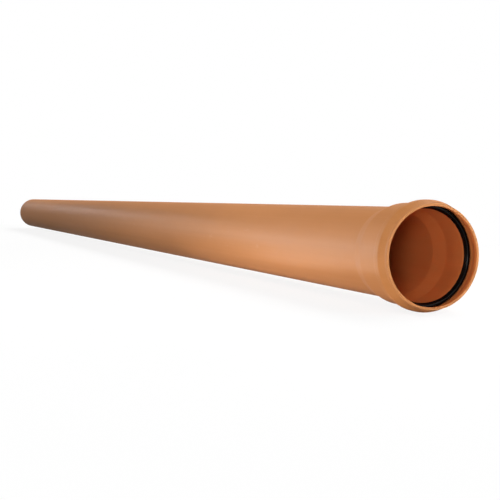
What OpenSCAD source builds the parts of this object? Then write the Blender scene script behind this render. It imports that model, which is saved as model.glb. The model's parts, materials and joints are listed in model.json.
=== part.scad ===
// Drainage pipe with a push-fit socket and its rubber seal ring.
// The pipe lies along X on the ground, with the socket mouth at the +X end.
// The origin is on the ground, under the middle of the pipe.

/* [Pipe] */
// Outer diameter of the pipe
pipe_diameter = 110; // [90:1:200]
// Wall thickness of the pipe and its socket
wall = 3.2; // [2.2:0.1:5]
// Overall length, from the socket mouth to the plain end
overall_length = 3000; // [500:10:6000]
// Length of the chamfer round the plain end
chamfer_length = 6; // [3:0.5:8]
// Angle between the chamfer and the axis
chamfer_angle = 15; // [5:1:15]

/* [Socket] */
// Gap all round between the next pipe and the sleeve that takes it
sleeve_clearance = 1.7; // [0.5:0.1:3]
// Depth from the mouth at which the sleeve ends
socket_depth = 61.5; // [50:0.5:120]
// Length of the taper between the sleeve and the pipe
shoulder_length = 22.5; // [15:0.5:40]
// Length of the straight lip at the mouth
lip_length = 4.5; // [3:0.5:8]
// Depth of the seal groove below the sleeve's inner face
groove_depth = 3.95; // [3.5:0.05:5]
// Length of the groove's floor
groove_width = 8; // [7.5:0.1:12]
// Length of the slope from the lip up to the groove's floor
front_slope_length = 9; // [7:0.5:12]
// Length of the slope from the groove's floor down to the sleeve
rear_slope_length = 6.5; // [6:0.5:9]

/* [Seal ring] */
// Gap between the seal ring and the groove's floor
seal_clearance = 0.1; // [0.05:0.05:0.3]
// How far the free sealing lip reaches inside the next pipe's surface
seal_squeeze = 1.5; // [1:0.1:3.5]
// Length of the band that seats on the groove's floor
seal_seat_width = 1.5; // [1:0.1:3]
// How far the seal's nose stands in front of that band
seal_nose_reach = 2.6; // [2:0.1:4]

/* [Hidden] */
$fn = 180;
ARC_STEPS = 6;
// Turn about its own axis at which the pipe comes to rest on the ground
REST_TURN = 12.4;

pipe_radius = pipe_diameter / 2;
bore_radius = pipe_radius - wall;
sleeve_radius = pipe_radius + sleeve_clearance;
groove_radius = sleeve_radius + groove_depth;
bead_radius = groove_radius + wall;
chamfer_radius = pipe_radius - chamfer_length * tan(chamfer_angle);

// Depths along the socket, measured from the mouth
groove_start = lip_length + front_slope_length;
groove_end = groove_start + groove_width;
sleeve_start = groove_end + rear_slope_length;
shoulder_end = socket_depth + shoulder_length;

// Roundings of the formed plastic
lip_rounding = 3;
groove_rounding = 5;
sleeve_rounding = 5;
shoulder_rounding = 20;

// The seal's section: its seat lies where the groove's floor is straight
groove_end_angle = atan(groove_depth / rear_slope_length);
seal_radius = groove_radius - seal_clearance;
seal_lip_radius = pipe_radius - seal_squeeze;
seal_seat_end = groove_end - groove_rounding * tan(groove_end_angle / 2);
seal_seat_start = seal_seat_end - seal_seat_width;
seal_nose = seal_seat_start - seal_nose_reach;
seal_nose_drop = 2.15;
seal_chin_back = 0.4;
seal_chin_drop = 0.8;
seal_lip_back = 4.5;
seal_tip_length = 1.5;
seal_tip_rise = 0.8;
seal_root_drop = 0.5;
seal_heel = groove_end + rear_slope_length / 2;
seal_heel_clearance = 0.5;
seal_heel_top = sleeve_radius + groove_depth / 2 - seal_heel_clearance;
seal_heel_rise = 0.3;
seal_face_rounding = 1;
seal_bend_rounding = 1;
seal_edge_rounding = 0.5;

function unit(v) = v / norm(v);

// An arc that rounds one corner, as points from the side before it to the side after it
function corner_arc(before, corner, after, rounding) =
    let (
        back = unit(before - corner),
        ahead = unit(after - corner),
        half_angle = acos(back * ahead) / 2,
        setback = rounding / tan(half_angle),
        centre = corner + unit(back + ahead) * rounding / sin(half_angle),
        first = corner + back * setback - centre,
        last = corner + ahead * setback - centre
    )
    [for (i = [0 : ARC_STEPS]) centre + rounding * unit(first * (ARC_STEPS - i) + last * i)];

// Places a corner given as [depth from the mouth, radius] on the turned section
function place(corner) = [corner[1], overall_length - corner[0]];

// An outline of [depth, radius, rounding] corners, with each rounded corner made an arc
function outline(corners, closed) =
    let (count = len(corners))
    [
        for (i = [0 : count - 1])
            let (
                here = place(corners[i]),
                before = place(corners[(i + count - 1) % count]),
                after = place(corners[(i + 1) % count]),
                inner = closed || (i > 0 && i < count - 1)
            )
            each inner && corners[i][2] > 0
                ? corner_arc(before, here, after, corners[i][2])
                : [here]
    ];

// One face of the wall, from the mouth to near the plain end. It lies rise outside the bore's face.
function wall_face(rise, end_cut) =
    let (
        low = bore_radius + rise,
        middle = sleeve_radius + rise,
        high = groove_radius + rise
    )
    [
        [0, middle, 0],
        [lip_length, middle, lip_rounding],
        [groove_start, high, groove_rounding],
        [groove_end, high, groove_rounding],
        [sleeve_start, middle, sleeve_rounding],
        [socket_depth, middle, shoulder_rounding],
        [shoulder_end, low, shoulder_rounding],
        [overall_length - end_cut, low, 0],
    ];

function reversed(list) = [for (i = [len(list) - 1 : -1 : 0]) list[i]];

// Turns a section about the pipe's axis and lays it along X
module turned(section) {
    translate([-overall_length / 2, 0, bead_radius])
        rotate([0, 90, 0])
            rotate([0, 0, REST_TURN])
                rotate_extrude()
                    polygon(section);
}

// One extruded tube of even wall, with its end formed into the socket
module pipe() {
    outside = outline(wall_face(wall, chamfer_length), false);
    inside = outline(wall_face(0, 0), false);
    color("#c98b5c")
        turned(concat(outside, [[chamfer_radius, 0]], reversed(inside)));
}

// One rubber ring: a body in the groove and a lip that leans inwards and back
module seal_ring() {
    section = [
        [seal_seat_start, seal_radius, seal_bend_rounding],
        [seal_nose, seal_radius - seal_nose_drop, seal_face_rounding],
        [seal_nose + seal_chin_back, sleeve_radius - seal_chin_drop, seal_face_rounding],
        [seal_nose + seal_lip_back, seal_lip_radius, seal_edge_rounding],
        [seal_nose + seal_lip_back + seal_tip_length, seal_lip_radius + seal_tip_rise, seal_edge_rounding],
        [seal_nose + seal_lip_back, sleeve_radius - seal_root_drop, seal_bend_rounding],
        [seal_heel, sleeve_radius + seal_heel_rise, seal_edge_rounding],
        [seal_heel, seal_heel_top, seal_edge_rounding],
        [seal_seat_end, seal_radius, seal_edge_rounding],
    ];
    color("#17140f")
        turned(outline(section, true));
}

pipe();
seal_ring();
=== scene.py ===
import json
import math

import bmesh
import bpy
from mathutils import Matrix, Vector


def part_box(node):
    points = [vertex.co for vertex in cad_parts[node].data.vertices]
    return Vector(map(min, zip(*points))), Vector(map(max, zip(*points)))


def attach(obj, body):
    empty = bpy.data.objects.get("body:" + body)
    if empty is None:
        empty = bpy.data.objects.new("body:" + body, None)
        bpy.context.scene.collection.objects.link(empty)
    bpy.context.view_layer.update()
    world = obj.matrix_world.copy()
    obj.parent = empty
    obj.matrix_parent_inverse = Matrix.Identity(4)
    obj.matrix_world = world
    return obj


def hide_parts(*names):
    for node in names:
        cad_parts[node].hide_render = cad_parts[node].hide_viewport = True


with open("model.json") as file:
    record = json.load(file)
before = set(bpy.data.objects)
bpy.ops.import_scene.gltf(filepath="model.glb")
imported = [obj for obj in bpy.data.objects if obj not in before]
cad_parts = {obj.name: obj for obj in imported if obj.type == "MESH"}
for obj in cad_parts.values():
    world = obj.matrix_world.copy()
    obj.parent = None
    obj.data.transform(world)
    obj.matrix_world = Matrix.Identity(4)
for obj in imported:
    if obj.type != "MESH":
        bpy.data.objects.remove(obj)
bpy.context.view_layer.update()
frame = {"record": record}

# Sizes, in metres. The frame gives what the record states, and the rest repeats the part's section.
MOUNTS = {mount["name"]: mount for mount in frame["record"]["mounts"]}
pipe_low, pipe_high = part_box("pipe")
MOUTH_X = pipe_high.x
LENGTH = pipe_high.x - pipe_low.x
AXIS_Z = MOUNTS["spigot"]["pos_m"][2]
PIPE_R = MOUNTS["spigot"]["dims"]["r_mm"] / 1000
BORE_R = MOUNTS["pipe_bore"]["dims"]["r_mm"] / 1000
SLEEVE_R = MOUNTS["socket_mouth"]["dims"]["r_mm"] / 1000
WALL = PIPE_R - BORE_R
GROOVE_R = AXIS_Z - WALL
LIP_LENGTH = 0.0045
GROOVE_START = 0.0135
GROOVE_END = 0.0215
SLEEVE_START = 0.028
SOCKET_DEPTH = 0.0615
SHOULDER_END = 0.084
CHAMFER = 0.006
CHAMFER_ANGLE = math.radians(15)
CHAMFER_DROP = CHAMFER * math.tan(CHAMFER_ANGLE)

# Roundings, in metres
RIM_EDGE = 0.0006
END_EDGE = 0.0004
LIP_BEND = 0.003
BEAD_BEND = 0.005
SHOULDER_BEND = 0.02

# The seal ring's section, in metres, as depths from the mouth and radii
SEAL_CLEARANCE = 0.0001
SEAL_R = GROOVE_R - SEAL_CLEARANCE
SEAT_START = 0.0186
SEAT_END = 0.0201
NOSE = 0.0160
NOSE_R = 0.0584
CHIN = 0.0164
CHIN_R = 0.0559
TIP = 0.0205
TIP_R = 0.0535
TIP_BACK = 0.0220
TIP_BACK_R = 0.0543
ROOT_R = 0.0562
HEEL = 0.02475
HEEL_R = 0.0570
HEEL_TOP_R = 0.058175
SEAL_FACE_BEND = 0.001
SEAL_BEND = 0.001
SEAL_EDGE = 0.0005

# How finely the sections are drawn and turned
SEGMENTS = 224
ARC_STEPS = 7
NEAR_CORNER = 0.0004
SHORTEST_RUN = 5 * NEAR_CORNER
LONGEST_RUN = 0.09

# The map of each turned piece: strips along the section, with a margin round each
UV_STRIPS = 4
UV_END_MARGIN = 0.04
UV_SIDE_MARGIN = 0.03


# ---------------------------------------------------------------- shapes
def arc_points(before, corner, after, rounding):
    """The corner of a section rounded to an arc, as points."""
    back = (before - corner).normalized()
    ahead = (after - corner).normalized()
    half = back.angle(ahead) / 2
    setback = rounding / math.tan(half)
    centre = corner + (back + ahead).normalized() * rounding / math.sin(half)
    first = corner + back * setback - centre
    last = corner + ahead * setback - centre
    steps = [step / ARC_STEPS for step in range(ARC_STEPS + 1)]
    return [centre + first.lerp(last, t).normalized() * rounding for t in steps]


def rounded(corners):
    """A closed section from (depth, radius, rounding) corners."""
    spots = [Vector((depth, radius)) for depth, radius, _ in corners]
    points = []
    for i, (_, _, rounding) in enumerate(corners):
        points += arc_points(spots[i - 1], spots[i], spots[(i + 1) % len(spots)], rounding)
    return points


def with_loops(points):
    """The same section with more loops, so that it shades evenly.

    One lies close to each arc's ends, and others divide the long runs.
    """
    made = []
    for here, there in zip(points, points[1:] + points[:1]):
        made.append(here)
        run = (there - here).length
        if run < SHORTEST_RUN:
            continue
        ends = [NEAR_CORNER / run, 1 - NEAR_CORNER / run]
        inner = max(1, math.ceil(run / LONGEST_RUN))
        shares = [ends[0] + (ends[1] - ends[0]) * i / inner for i in range(inner + 1)]
        made += [here.lerp(there, share) for share in shares]
    return made


def turned(name, section):
    """A section of (depth, radius) points turned about the pipe's axis.

    Its map lies in strips along the pipe.
    """
    mesh = bpy.data.meshes.new(name)
    bm = bmesh.new()
    turns = [2 * math.pi * j / SEGMENTS for j in range(SEGMENTS)]
    rings = [
        [
            bm.verts.new((MOUTH_X - p.x, p.y * math.sin(turn), AXIS_Z + p.y * math.cos(turn)))
            for turn in turns
        ]
        for p in section
    ]
    lengths = [(there - here).length for here, there in zip(section, section[1:] + section[:1])]
    perimeter = sum(lengths)
    uv_map = bm.loops.layers.uv.new("OFBake")
    done = 0.0
    for i, length in enumerate(lengths):
        strip = int((done + length / 2) / perimeter * UV_STRIPS)
        ring, next_ring = rings[i], rings[(i + 1) % len(rings)]
        along = [(done + step) / perimeter * UV_STRIPS - strip for step in (0, length)]
        for j in range(SEGMENTS):
            k = (j + 1) % SEGMENTS
            face = bm.faces.new((ring[j], ring[k], next_ring[k], next_ring[j]))
            face.smooth = True
            for loop, u, v in zip(face.loops, (0, 0, 1, 1), (j, j + 1, j + 1, j)):
                loop[uv_map].uv = (
                    UV_END_MARGIN + (1 - 2 * UV_END_MARGIN) * along[u],
                    (strip + UV_SIDE_MARGIN + (1 - 2 * UV_SIDE_MARGIN) * v / SEGMENTS) / UV_STRIPS,
                )
        done += length
    bmesh.ops.recalc_face_normals(bm, faces=bm.faces)
    bm.to_mesh(mesh)
    bm.free()
    piece = bpy.data.objects.new(name, mesh)
    bpy.context.scene.collection.objects.link(piece)
    return piece


pipe_section = with_loops(
    rounded(
        [
            (0, SLEEVE_R + WALL, RIM_EDGE),
            (LIP_LENGTH, SLEEVE_R + WALL, LIP_BEND),
            (GROOVE_START, GROOVE_R + WALL, BEAD_BEND),
            (GROOVE_END, GROOVE_R + WALL, BEAD_BEND),
            (SLEEVE_START, SLEEVE_R + WALL, BEAD_BEND),
            (SOCKET_DEPTH, SLEEVE_R + WALL, SHOULDER_BEND),
            (SHOULDER_END, PIPE_R, SHOULDER_BEND),
            (LENGTH - CHAMFER, PIPE_R, END_EDGE),
            (LENGTH, PIPE_R - CHAMFER_DROP, END_EDGE),
            (LENGTH, BORE_R, END_EDGE),
            (SHOULDER_END, BORE_R, SHOULDER_BEND),
            (SOCKET_DEPTH, SLEEVE_R, SHOULDER_BEND),
            (SLEEVE_START, SLEEVE_R, BEAD_BEND),
            (GROOVE_END, GROOVE_R, BEAD_BEND),
            (GROOVE_START, GROOVE_R, BEAD_BEND),
            (LIP_LENGTH, SLEEVE_R, LIP_BEND),
            (0, SLEEVE_R, RIM_EDGE),
        ]
    )
)
pipe = turned("plastic_pipe", pipe_section)
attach(pipe, "root")
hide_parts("pipe")

seal_section = with_loops(
    rounded(
        [
            (SEAT_START, SEAL_R, SEAL_BEND),
            (NOSE, NOSE_R, SEAL_FACE_BEND),
            (CHIN, CHIN_R, SEAL_FACE_BEND),
            (TIP, TIP_R, SEAL_EDGE),
            (TIP_BACK, TIP_BACK_R, SEAL_EDGE),
            (TIP, ROOT_R, SEAL_BEND),
            (HEEL, HEEL_R, SEAL_EDGE),
            (HEEL, HEEL_TOP_R, SEAL_EDGE),
            (SEAT_END, SEAL_R, SEAL_EDGE),
        ]
    )
)
seal = turned("rubber_seal", seal_section)
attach(seal, "root")
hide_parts("seal_ring")


# ---------------------------------------------------------------- materials
class Graph:
    """The nodes of a material or the world, made by short calls."""

    def __init__(self, owner):
        owner.use_nodes = True
        self.owner = owner
        self.tree = owner.node_tree
        self.tree.nodes.clear()

    def node(self, kind, links=None, values=None, **settings):
        """A node with its links, its sockets' values and its settings."""
        made = self.tree.nodes.new(kind)
        for key, value in settings.items():
            setattr(made, key, value)
        for key, value in (values or {}).items():
            made.inputs[key].default_value = value
        for key, source in (links or {}).items():
            self.tree.links.new(source, made.inputs[key])
        return made

    def math(self, operation, a, b=0.0):
        """A math operation on two sockets or numbers."""
        made = self.node("ShaderNodeMath", operation=operation)
        for socket, value in zip(made.inputs, (a, b)):
            if isinstance(value, (int, float)):
                socket.default_value = value
            else:
                self.tree.links.new(value, socket)
        return made.outputs[0]

    def vector_math(self, operation, a, b=(0, 0, 0)):
        """A vector operation on a socket and a vector."""
        made = self.node("ShaderNodeVectorMath", {0: a}, {1: b}, operation=operation)
        return made.outputs[0]

    def fade(self, value, low, high, to_low=0.0, to_high=1.0):
        """value mapped smoothly from low and high to to_low and to_high."""
        made = self.node(
            "ShaderNodeMapRange",
            {"Value": value},
            {"From Min": low, "From Max": high, "To Min": to_low, "To Max": to_high},
            interpolation_type="SMOOTHSTEP",
        )
        return made.outputs["Result"]

    def noise(self, place, scale, stretch=(1, 1, 1), detail=3.0, roughness=0.55, shift=(0, 0, 0)):
        """Noise between 0 and 1, stretched and shifted."""
        moved = self.node(
            "ShaderNodeMapping", {"Vector": place}, {"Scale": stretch, "Location": shift}
        )
        made = self.node(
            "ShaderNodeTexNoise",
            {"Vector": moved.outputs[0]},
            {"Scale": scale, "Detail": detail, "Roughness": roughness},
        )
        return made.outputs["Fac"]

    def mix(self, share, low, high):
        """A colour between two colours or sockets."""
        made = self.node("ShaderNodeMix", data_type="RGBA")
        sockets = (made.inputs[0], made.inputs[6], made.inputs[7])
        for socket, value in zip(sockets, (share, low, high)):
            if isinstance(value, (int, float)):
                socket.default_value = value
            elif isinstance(value, tuple):
                socket.default_value = (*value, 1.0)
            else:
                self.tree.links.new(value, socket)
        return made.outputs[2]

    def finish(self, shader):
        """The material, with its shader on the output."""
        self.node("ShaderNodeOutputMaterial", {"Surface": shader})
        return self.owner


def pvc_material():
    """Drawn orange-brown plastic with painted shade and bounce light inside, pale cut ends and
    light scuffs.
    """
    g = Graph(bpy.data.materials.new("orange_brown_pvc"))
    coordinates = g.node("ShaderNodeTexCoord")
    place = coordinates.outputs["Object"]
    x = g.node("ShaderNodeSeparateXYZ", {"Vector": place}).outputs["X"]

    # Slow changes of tone, then the bands, lines and grain that the die leaves along the pipe
    clouds = g.noise(place, 7.0, stretch=(0.45, 1, 1), detail=4.0)
    bands = g.noise(place, 70.0, stretch=(0.006, 1, 1), detail=2.0, shift=(3, 0, 0))
    lines = g.noise(place, 620.0, stretch=(0.0012, 1, 1), detail=3.0, shift=(0, 5, 0))
    grain = g.noise(place, 1900.0, stretch=(0.35, 1, 1), detail=2.0)

    deep_tone, pale_tone = (0.520, 0.208, 0.067), (0.560, 0.231, 0.080)
    band_tone, line_tone = (0.500, 0.196, 0.062), (0.600, 0.265, 0.102)
    cut_tone, scuff_tone = (0.60, 0.280, 0.122), (0.70, 0.420, 0.250)
    # The last tint is painted shade and reddish bounce light for the inside of the bore
    painted_shade_tint = (1.18, 0.865, 0.745)

    colour = g.mix(g.fade(clouds, 0.3, 0.7), deep_tone, pale_tone)
    colour = g.mix(g.fade(bands, 0.35, 0.75, 0.0, 0.5), colour, band_tone)
    colour = g.mix(g.fade(lines, 0.5, 0.85, 0.0, 0.30), colour, line_tone)

    # Painted shade and bounce light: faces inside the bore get a deeper, redder colour in place of
    # their shade
    outward = g.vector_math("ADD", place, (0, 0, -AXIS_Z))
    outward = g.vector_math("MULTIPLY", outward, (0, 1, 1))
    outward = g.vector_math("NORMALIZE", outward)
    facing = g.node(
        "ShaderNodeVectorMath",
        {0: outward, 1: coordinates.outputs["Normal"]},
        operation="DOT_PRODUCT",
    ).outputs["Value"]
    painted_shade_inside = g.fade(facing, -0.5, -0.1, 1.0, 0.0)
    colour = g.mix(painted_shade_inside, colour, g.vector_math("MULTIPLY", colour, painted_shade_tint))

    # Cut faces at both ends are paler and duller than the drawn surface
    plain_x = MOUTH_X - LENGTH
    rim = g.fade(x, MOUTH_X - 1.2 * RIM_EDGE, MOUTH_X - 0.3 * RIM_EDGE)
    cut = g.fade(x, plain_x + CHAMFER, plain_x + CHAMFER + END_EDGE, 1.0, 0.0)
    ends = g.math("MAXIMUM", rim, cut)
    colour = g.mix(g.math("MULTIPLY", ends, 0.30), colour, cut_tone)

    # Scuffs in patches, as where the pipe has slid on others
    scratches = g.noise(
        place, 55.0, stretch=(0.5, 6, 1.2), detail=7.0, roughness=0.7, shift=(1, 2, 3)
    )
    scuffs = g.math("MULTIPLY", g.fade(scratches, 0.61, 0.70), g.fade(clouds, 0.48, 0.62))
    colour = g.mix(g.math("MULTIPLY", scuffs, 0.22), colour, scuff_tone)

    worn = g.math("MULTIPLY", g.math("MAXIMUM", ends, scuffs), 0.16)
    roughness = g.fade(clouds, 0.3, 0.7, 0.54, 0.60)
    roughness = g.math("ADD", roughness, g.fade(lines, 0.3, 0.8, 0.0, 0.06))
    roughness = g.math("ADD", roughness, worn)

    height = g.math("ADD", g.math("MULTIPLY", lines, 0.55), g.math("MULTIPLY", grain, 0.25))
    height = g.math("ADD", height, g.math("MULTIPLY", scuffs, -0.2))
    bump = g.node(
        "ShaderNodeBump", {"Height": height}, {"Strength": 0.35, "Distance": 0.00012}
    ).outputs[0]

    shader = g.node(
        "ShaderNodeBsdfPrincipled",
        {"Base Color": colour, "Roughness": roughness, "Normal": bump},
        {"IOR": 1.5, "Specular IOR Level": 0.02, "Coat Weight": 0.05, "Coat Roughness": 0.38},
    )
    return g.finish(shader.outputs[0])


def rubber_material():
    """Black rubber with a slight bloom, a fine grain and a thin gloss."""
    g = Graph(bpy.data.materials.new("seal_rubber"))
    place = g.node("ShaderNodeTexCoord").outputs["Object"]
    bloom = g.noise(place, 60.0, detail=4.0)
    grain = g.noise(place, 1500.0, detail=2.0)
    clean_tone, bloom_tone = (0.0010, 0.0009, 0.0008), (0.0022, 0.0019, 0.0017)
    colour = g.mix(g.fade(bloom, 0.35, 0.7), clean_tone, bloom_tone)
    roughness = g.fade(bloom, 0.3, 0.75, 0.36, 0.46)
    bump = g.node(
        "ShaderNodeBump", {"Height": grain}, {"Strength": 0.25, "Distance": 0.0001}
    ).outputs[0]
    shader = g.node(
        "ShaderNodeBsdfPrincipled",
        {"Base Color": colour, "Roughness": roughness, "Normal": bump},
        {"IOR": 1.5, "Specular IOR Level": 0.02, "Coat Weight": 0.24, "Coat Roughness": 0.12},
    )
    return g.finish(shader.outputs[0])


pipe.data.materials.append(pvc_material())
seal.data.materials.append(rubber_material())


# ---------------------------------------------------------------- camera
CAMERA_FROM_MOUTH = Vector((0.8920, -0.5678, 0.0675))
LOOKING = Vector((-0.93000, 0.36308, -0.05753))
LENS_MM = 67.27
SENSOR_MM = 36.0

camera_data = bpy.data.cameras.new("camera")
camera_data.lens = LENS_MM
camera_data.sensor_width = SENSOR_MM
camera_data.clip_start = 0.02
camera_data.clip_end = 200.0
camera = bpy.data.objects.new("camera", camera_data)
camera.location = Vector((MOUTH_X, 0, AXIS_Z)) + CAMERA_FROM_MOUTH
camera.rotation_euler = LOOKING.to_track_quat("-Z", "Y").to_euler()
bpy.context.scene.collection.objects.link(camera)
bpy.context.scene.camera = camera


# ---------------------------------------------------------------- floor and world
WHITE = (1.0, 1.0, 1.0, 1.0)
PALE_GREY = (0.16, 0.16, 0.16, 1.0)
FLOOR_HALF = 60.0

# The floor's own glow near the pipe and further off, and the distances between which it changes
GLOW_NEAR = 0.86
GLOW_FAR = 1.0
GLOW_NEAR_TO = 0.15
GLOW_FAR_FROM = 0.9

# How much light the floor throws back, under the plain end's half and under the mouth's
BOUNCE_FAR_END = (0.08,) * 3
BOUNCE_MOUTH = (0.7,) * 3
BOUNCE_CHANGE = 1.0

AMBIENT = 0.05


def seen_directly(g):
    """1 for rays that show a background: camera, glossy and transmission rays."""
    path = g.node("ShaderNodeLightPath")
    first = g.math("MAXIMUM", path.outputs["Is Camera Ray"], path.outputs["Is Glossy Ray"])
    return g.math("MAXIMUM", first, path.outputs["Is Transmission Ray"])


def floor_material():
    """Pale paint that catches the shadow beside the pipe and turns plain white further off."""
    g = Graph(bpy.data.materials.new("pale_floor"))
    place = g.node("ShaderNodeTexCoord").outputs["Object"]
    split = g.node("ShaderNodeSeparateXYZ", {"Vector": place})
    beyond = g.math("SUBTRACT", g.math("ABSOLUTE", split.outputs["X"]), LENGTH / 2)
    beyond = g.math("MAXIMUM", beyond, 0.0)
    beside = g.node("ShaderNodeCombineXYZ", {"X": beyond, "Y": split.outputs["Y"]})
    away = g.node(
        "ShaderNodeVectorMath", {0: beside.outputs[0]}, operation="LENGTH"
    ).outputs["Value"]

    towards_mouth = g.fade(split.outputs["X"], -BOUNCE_CHANGE, BOUNCE_CHANGE)
    bounce = g.mix(towards_mouth, BOUNCE_FAR_END, BOUNCE_MOUTH)
    paint = g.node("ShaderNodeBsdfDiffuse", {"Color": bounce})

    pale = g.node("ShaderNodeBsdfDiffuse", values={"Color": PALE_GREY})
    glow = g.node("ShaderNodeEmission", values={"Color": WHITE, "Strength": GLOW_NEAR})
    near = g.node("ShaderNodeAddShader", {0: pale.outputs[0], 1: glow.outputs[0]})
    far = g.node("ShaderNodeEmission", values={"Color": WHITE, "Strength": GLOW_FAR})
    share = g.fade(away, GLOW_NEAR_TO, GLOW_FAR_FROM)
    shown = g.node("ShaderNodeMixShader", {0: share, 1: near.outputs[0], 2: far.outputs[0]})

    both = g.node(
        "ShaderNodeMixShader", {0: seen_directly(g), 1: paint.outputs[0], 2: shown.outputs[0]}
    )
    return g.finish(both.outputs[0])


floor_corners = [
    (x * FLOOR_HALF, y * FLOOR_HALF, 0.0) for x, y in ((-1, -1), (1, -1), (1, 1), (-1, 1))
]
floor_mesh = bpy.data.meshes.new("floor")
floor_mesh.from_pydata(floor_corners, [], [(0, 1, 2, 3)])
floor = bpy.data.objects.new("floor", floor_mesh)
floor.data.materials.append(floor_material())
bpy.context.scene.collection.objects.link(floor)

# The world is white to the rays that show a background, and its light on everything else is faint
world = bpy.data.worlds.new("studio")
bpy.context.scene.world = world
sky = Graph(world)
strength = sky.node(
    "ShaderNodeMapRange", {"Value": seen_directly(sky)}, {"To Min": AMBIENT, "To Max": 1.0}
)
background = sky.node(
    "ShaderNodeBackground", {"Strength": strength.outputs["Result"]}, {"Color": WHITE}
)
sky.node("ShaderNodeOutputWorld", {"Surface": background.outputs[0]})


# ---------------------------------------------------------------- lamps
def softbox(name, place, aim, width, height, watts, diffuse=True, gloss=True):
    """A lamp with an elliptical face, turned towards the point it lights.

    It can be kept out of the diffuse light or out of the gloss.
    """
    data = bpy.data.lights.new(name, "AREA")
    data.shape = "ELLIPSE"
    data.size = width
    data.size_y = height
    data.energy = watts
    lamp = bpy.data.objects.new(name, data)
    lamp.location = place
    lamp.rotation_euler = (Vector(aim) - Vector(place)).to_track_quat("-Z", "Y").to_euler()
    lamp.visible_camera = False
    lamp.visible_diffuse = diffuse
    lamp.visible_glossy = gloss
    bpy.context.scene.collection.objects.link(lamp)


# The mouth's half, from in front and from the camera's side
softbox("key", (5.0, -2.4, 0.5), (1.2, 0, 0.06), 1.0, 1.0, 48)
softbox("front", (9.0, -5.0, 0.8), (1.2, 0, 0.06), 1.5, 1.5, 50)
softbox("side", (1.0, -1.5, 0.34), (1.0, 0, 0.06), 0.6, 0.66, 2.9)
softbox("low", (1.9, -1.6, 0.18), (1.3, 0, 0.06), 0.6, 0.34, 4.6)
softbox("over", (1.1, -0.9, 1.2), (1.1, 0, 0.06), 0.5, 0.5, 4.6)

# What a bright table throws up beside the mouth's half, and the gloss from close by
softbox("under", (1.15, -0.075, 0.003), (1.15, -0.075, 1.0), 0.95, 0.08, 0.09, gloss=False)
softbox("sheen", (1.15, -0.2, 0.003), (1.15, -0.2, 1.0), 0.6, 0.26, 4, diffuse=False)
softbox("sheen_top", (0.9, -0.32, 0.32), (1.5, 0, 0.09), 0.4, 0.3, 2, diffuse=False)
softbox("sheen_side", (0.85, -0.3, 0.06), (1.3, 0, 0.06), 0.3, 0.1, 0.6, diffuse=False)

# The plain end's half, fainter
softbox("far_fill", (-1.2, -0.9, 0.9), (-1.0, 0, 0.06), 0.8, 0.5, 3.2, gloss=False)

# Into the mouth
softbox("mouth_high", (2.6, -0.1, 0.9), (1.5, 0, 0.06), 0.4, 0.4, 2.0)
softbox("mouth_right", (2.0, 0.25, 0.6), (1.5, 0, 0.06), 0.3, 0.3, 0.9)
softbox("mouth_low", (1.8, 0.45, 0.12), (1.5, 0, 0.06), 0.2, 0.2, 1.8)

# The back, the top and the plain end
softbox("top_left", (-0.9, 1.5, 2.2), (-0.7, 0, 0.06), 1.2, 1.2, 34)
softbox("top_right", (0.9, 1.5, 2.2), (0.7, 0, 0.06), 1.2, 1.2, 30)
softbox("back", (0, 2.6, 0.6), (0, 0, 0.06), 1.2, 0.8, 22)
softbox("plain_end", (-3.6, 0.9, 0.8), (-1.5, 0, 0.06), 0.6, 0.6, 24, gloss=False)

# The long highlights along the side
softbox("streak_near", (-0.95, -1.4, 0.28), (1.2, 0, 0.06), 0.5, 0.55, 38, diffuse=False)
softbox("streak_far", (-2.8, -0.67, 0.76), (0.05, -0.05, 0.09), 0.4, 0.4, 9, diffuse=False)

bpy.context.scene.view_settings.view_transform = "Standard"
